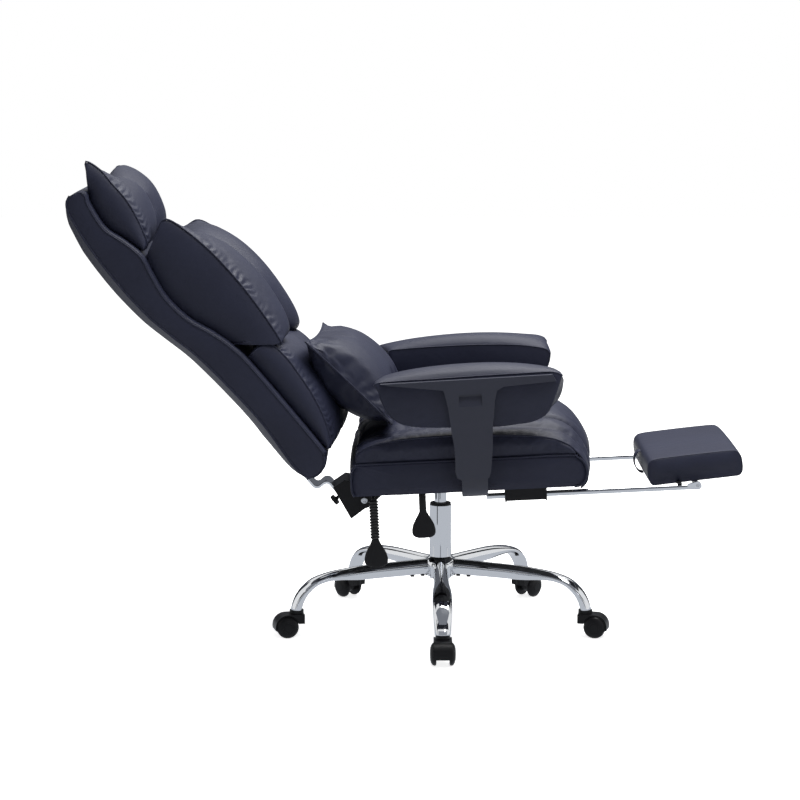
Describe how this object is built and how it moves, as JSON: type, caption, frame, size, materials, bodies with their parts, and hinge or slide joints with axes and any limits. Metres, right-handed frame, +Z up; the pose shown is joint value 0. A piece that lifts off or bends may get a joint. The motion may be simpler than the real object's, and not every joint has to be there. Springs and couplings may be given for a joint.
{
  "type": "reclining office chair",
  "caption": "High-backed reclining office chair on a star base with casters, with padded arms, a loose lumbar pillow and a pull-out footrest that folds over.",
  "frame": {"origin": "on the floor, under the axis of the column", "axes": "+X the way the sitter faces, +Y to the sitter's left, +Z up"},
  "size_m": [1.4954, 0.7258, 1.0611],
  "materials": {
    "chromed_steel": "bright chrome plating",
    "bright_steel": "ground steel",
    "black_steel": "satin black powder coat",
    "black_nylon": "moulded black nylon",
    "navy_leather": "smooth dark navy coated leather",
    "blue_grey_plastic": "moulded dark blue-grey plastic",
    "plywood": "black stained plywood",
    "bellows_rubber": "black ribbed rubber"
  },
  "bodies": {
    "base": {"base_hub": "chromed_steel", "base_leg_1": "chromed_steel", "base_leg_2": "chromed_steel", "base_leg_3": "chromed_steel", "base_leg_4": "chromed_steel", "base_leg_5": "chromed_steel", "leg_screws": "black_steel", "column_tube": "chromed_steel", "column_bush": "black_nylon", "thrust_bearing": "bright_steel"},
    "core": {"piston_rod": "bright_steel"},
    "seat": {"gas_cylinder": "chromed_steel", "mechanism": "black_steel", "hinge_bracket": "black_steel", "hinge_bolt": "chromed_steel", "seat_board": "plywood", "seat_box": "navy_leather", "seat_cushion": "navy_leather", "arm_post_right": "blue_grey_plastic", "arm_post_left": "blue_grey_plastic", "arm_pad_right": "navy_leather", "arm_pad_left": "navy_leather", "arm_bolts": "black_steel", "rail_guide_right": "black_steel", "rail_guide_left": "black_steel"},
    "button": {"release_button": "black_nylon"},
    "height_lever": {"height_rod": "black_steel", "height_paddle": "black_nylon"},
    "recline_lever": {"recline_rod": "black_steel", "recline_bellows": "bellows_rubber", "recline_paddle": "black_nylon"},
    "back": {"hinge_housing": "black_nylon", "back_bar": "chromed_steel", "back_shell": "navy_leather", "back_panel": "navy_leather", "head_cushion": "navy_leather", "shoulder_cushion": "navy_leather", "lumbar_cushion": "navy_leather"},
    "clamp_knob": {"clamp_knob": "black_nylon"},
    "pillow": {"lumbar_pillow": "navy_leather"},
    "footrest_slide": {"footrest_rail_right": "chromed_steel", "footrest_rail_left": "chromed_steel", "footrest_shaft": "bright_steel"},
    "footrest": {"footrest_frame": "black_steel", "footrest_pad": "navy_leather"},
    "caster_1": {"caster_fork_1": "black_nylon"},
    "wheels_1": {"caster_axle_1": "bright_steel", "caster_wheels_1": "black_nylon"},
    "caster_2": {"caster_fork_2": "black_nylon"},
    "wheels_2": {"caster_axle_2": "bright_steel", "caster_wheels_2": "black_nylon"},
    "caster_3": {"caster_fork_3": "black_nylon"},
    "wheels_3": {"caster_axle_3": "bright_steel", "caster_wheels_3": "black_nylon"},
    "caster_4": {"caster_fork_4": "black_nylon"},
    "wheels_4": {"caster_axle_4": "bright_steel", "caster_wheels_4": "black_nylon"},
    "caster_5": {"caster_fork_5": "black_nylon"},
    "wheels_5": {"caster_axle_5": "bright_steel", "caster_wheels_5": "black_nylon"}
  },
  "joints": [
    {"name": "seat_swivel", "type": "hinge", "parent": "base", "child": "core", "pos_m": [0, 0, 0.115], "axis": [0, 0, 1], "continuous": true},
    {"name": "seat_lift", "type": "slide", "parent": "core", "child": "seat", "axis": [0, 0, 1], "range_m": [0, 0.09]},
    {"name": "back_recline", "type": "hinge", "parent": "seat", "child": "back", "pos_m": [-0.1734, 0, 0.3034], "axis": [0, 1, 0], "range_deg": [0, 28]},
    {"name": "pillow_slide", "type": "slide", "parent": "back", "child": "pillow", "axis": [-0.3341, 0, 0.9425], "range_m": [0, 0.06]},
    {"name": "clamp_knob_turn", "type": "hinge", "parent": "back", "child": "clamp_knob", "pos_m": [-0.22795, 0, 0.30462], "axis": [-0.766, 0, -0.6428], "continuous": true},
    {"name": "footrest_slide", "type": "slide", "parent": "seat", "child": "footrest_slide", "axis": [0.9988, 0, 0.048], "range_m": [-0.31, 0]},
    {"name": "footrest_flip", "type": "hinge", "parent": "footrest_slide", "child": "footrest", "pos_m": [0.56293, 0, 0.36503], "axis": [0, 1, 0], "range_deg": [0, 180]},
    {"name": "height_lever_pull", "type": "hinge", "parent": "seat", "child": "height_lever", "pos_m": [-0.04414, 0, 0.35188], "axis": [0, 1, 0], "range_deg": [0, 6], "stiffness_Nm_per_rad": 2.5},
    {"name": "release_press", "type": "slide", "parent": "seat", "child": "button", "axis": [0, 0, 1], "range_m": [-0.005, 0]},
    {"name": "recline_lever_pull", "type": "hinge", "parent": "seat", "child": "recline_lever", "pos_m": [-0.15152, 0, 0.34673], "axis": [0, 1, 0], "range_deg": [0, 20], "stiffness_Nm_per_rad": 1},
    {"name": "caster_swivel_1", "type": "hinge", "parent": "base", "child": "caster_1", "pos_m": [0, -0.343, 0.0615], "axis": [0, 0, 1], "continuous": true},
    {"name": "wheel_spin_1", "type": "hinge", "parent": "caster_1", "child": "wheels_1", "pos_m": [0, -0.367, 0.025], "axis": [1, 0, 0], "continuous": true},
    {"name": "caster_swivel_2", "type": "hinge", "parent": "base", "child": "caster_2", "pos_m": [0.32621, -0.10599, 0.0615], "axis": [0, 0, 1], "continuous": true},
    {"name": "wheel_spin_2", "type": "hinge", "parent": "caster_2", "child": "wheels_2", "pos_m": [0.3495, -0.1118, 0.025], "axis": [0.2419, 0.9703, 0], "continuous": true},
    {"name": "caster_swivel_3", "type": "hinge", "parent": "base", "child": "caster_3", "pos_m": [0.20161, 0.27749, 0.0615], "axis": [0, 0, 1], "continuous": true},
    {"name": "wheel_spin_3", "type": "hinge", "parent": "caster_3", "child": "wheels_3", "pos_m": [0.21767, 0.29533, 0.025], "axis": [-0.7431, 0.6691, 0], "continuous": true},
    {"name": "caster_swivel_4", "type": "hinge", "parent": "base", "child": "caster_4", "pos_m": [-0.20161, 0.27749, 0.0615], "axis": [0, 0, 1], "continuous": true},
    {"name": "wheel_spin_4", "type": "hinge", "parent": "caster_4", "child": "wheels_4", "pos_m": [-0.21828, 0.29476, 0.025], "axis": [-0.7193, -0.6947, 0], "continuous": true},
    {"name": "caster_swivel_5", "type": "hinge", "parent": "base", "child": "caster_5", "pos_m": [-0.32621, -0.10599, 0.0615], "axis": [0, 0, 1], "continuous": true},
    {"name": "wheel_spin_5", "type": "hinge", "parent": "caster_5", "child": "wheels_5", "pos_m": [-0.3495, -0.1118, 0.025], "axis": [0.2419, -0.9703, 0], "continuous": true}
  ],
  "couplings": [
    {"joint": "pillow_slide", "follows": "back_recline", "m_per_rad": 0.12277},
    {"joint": "footrest_flip", "follows": "footrest_slide", "rad_per_m": -10.134},
    {"joint": "release_press", "follows": "height_lever_pull", "m_per_rad": -0.0477}
  ]
}
